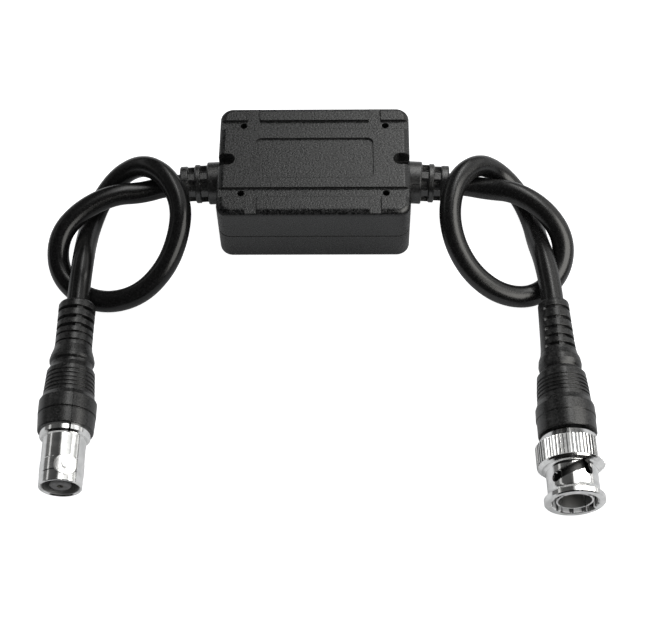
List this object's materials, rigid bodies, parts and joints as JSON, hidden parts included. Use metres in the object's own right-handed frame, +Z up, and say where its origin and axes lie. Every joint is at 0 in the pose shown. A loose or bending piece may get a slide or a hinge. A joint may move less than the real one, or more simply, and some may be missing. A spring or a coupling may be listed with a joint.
{
  "type": "video ground loop isolator",
  "caption": "Small black box on two short knotted coaxial leads, with a bayonet jack and a bayonet plug, that breaks a video ground loop.",
  "frame": {"origin": "bottom centre of the box, on the table", "axes": "+X along the box from the jack lead to the plug lead, +Z up through the lid, +Y away from the connectors"},
  "size_m": [0.1283, 0.1014, 0.018],
  "materials": {
    "case": "fine moulded grain",
    "moulding": "matte moulded",
    "jacket": "smooth extruded",
    "nickel": "bright nickel plate",
    "spring": "plain",
    "contact": "nickel plate",
    "insulator": "moulded",
    "gasket": "matte",
    "board": "solder mask",
    "ferrite": "coated ferrite",
    "copper": "enamelled",
    "ceramic": "dipped",
    "resistor": "coated",
    "braid": "woven, tinned",
    "polythene": "plain"
  },
  "bodies": {
    "isolator": {"upper_shell": "case", "lower_shell": "case", "circuit_board": "board", "toroid_core": "ferrite", "primary_winding": "copper", "secondary_winding": "copper", "resistor": "resistor", "capacitor_left": "ceramic", "capacitor_right": "ceramic", "strain_relief_left": "moulding", "strain_relief_right": "moulding", "braid_left": "braid", "braid_right": "braid", "dielectric_left": "polythene", "dielectric_right": "polythene", "conductor_left": "copper", "conductor_right": "copper", "jack_boot": "moulding", "jack_ferrule": "nickel", "jack_braid": "braid", "jack_dielectric": "polythene", "jack_conductor": "copper", "jack_body": "nickel", "bayonet_lugs": "nickel", "jack_insulator": "insulator", "jack_contact": "contact", "plug_boot": "moulding", "plug_ferrule": "nickel", "plug_braid": "braid", "plug_dielectric": "polythene", "plug_conductor": "copper", "plug_body": "nickel", "plug_insulator": "insulator", "plug_pin": "contact", "plug_gasket": "gasket", "wave_spring": "spring", "lead_left": "jacket", "lead_right": "jacket"},
    "washer": {"thrust_washer": "spring"},
    "ring": {"coupling_ring": "nickel", "retaining_ring": "spring"}
  },
  "joints": [
    {"name": "ring_travel", "type": "slide", "parent": "isolator", "child": "washer", "axis": [0.0244, -0.9996, -0.014], "range_m": [0, 0.0006], "stiffness_N_per_m": 500, "springref_m": -0.004, "deforming": ["wave_spring"]},
    {"name": "ring_turn", "type": "hinge", "parent": "washer", "child": "ring", "pos_m": [0.05671, -0.07648, 0.00745], "axis": [0.0244, -0.9996, -0.014], "continuous": true}
  ]
}
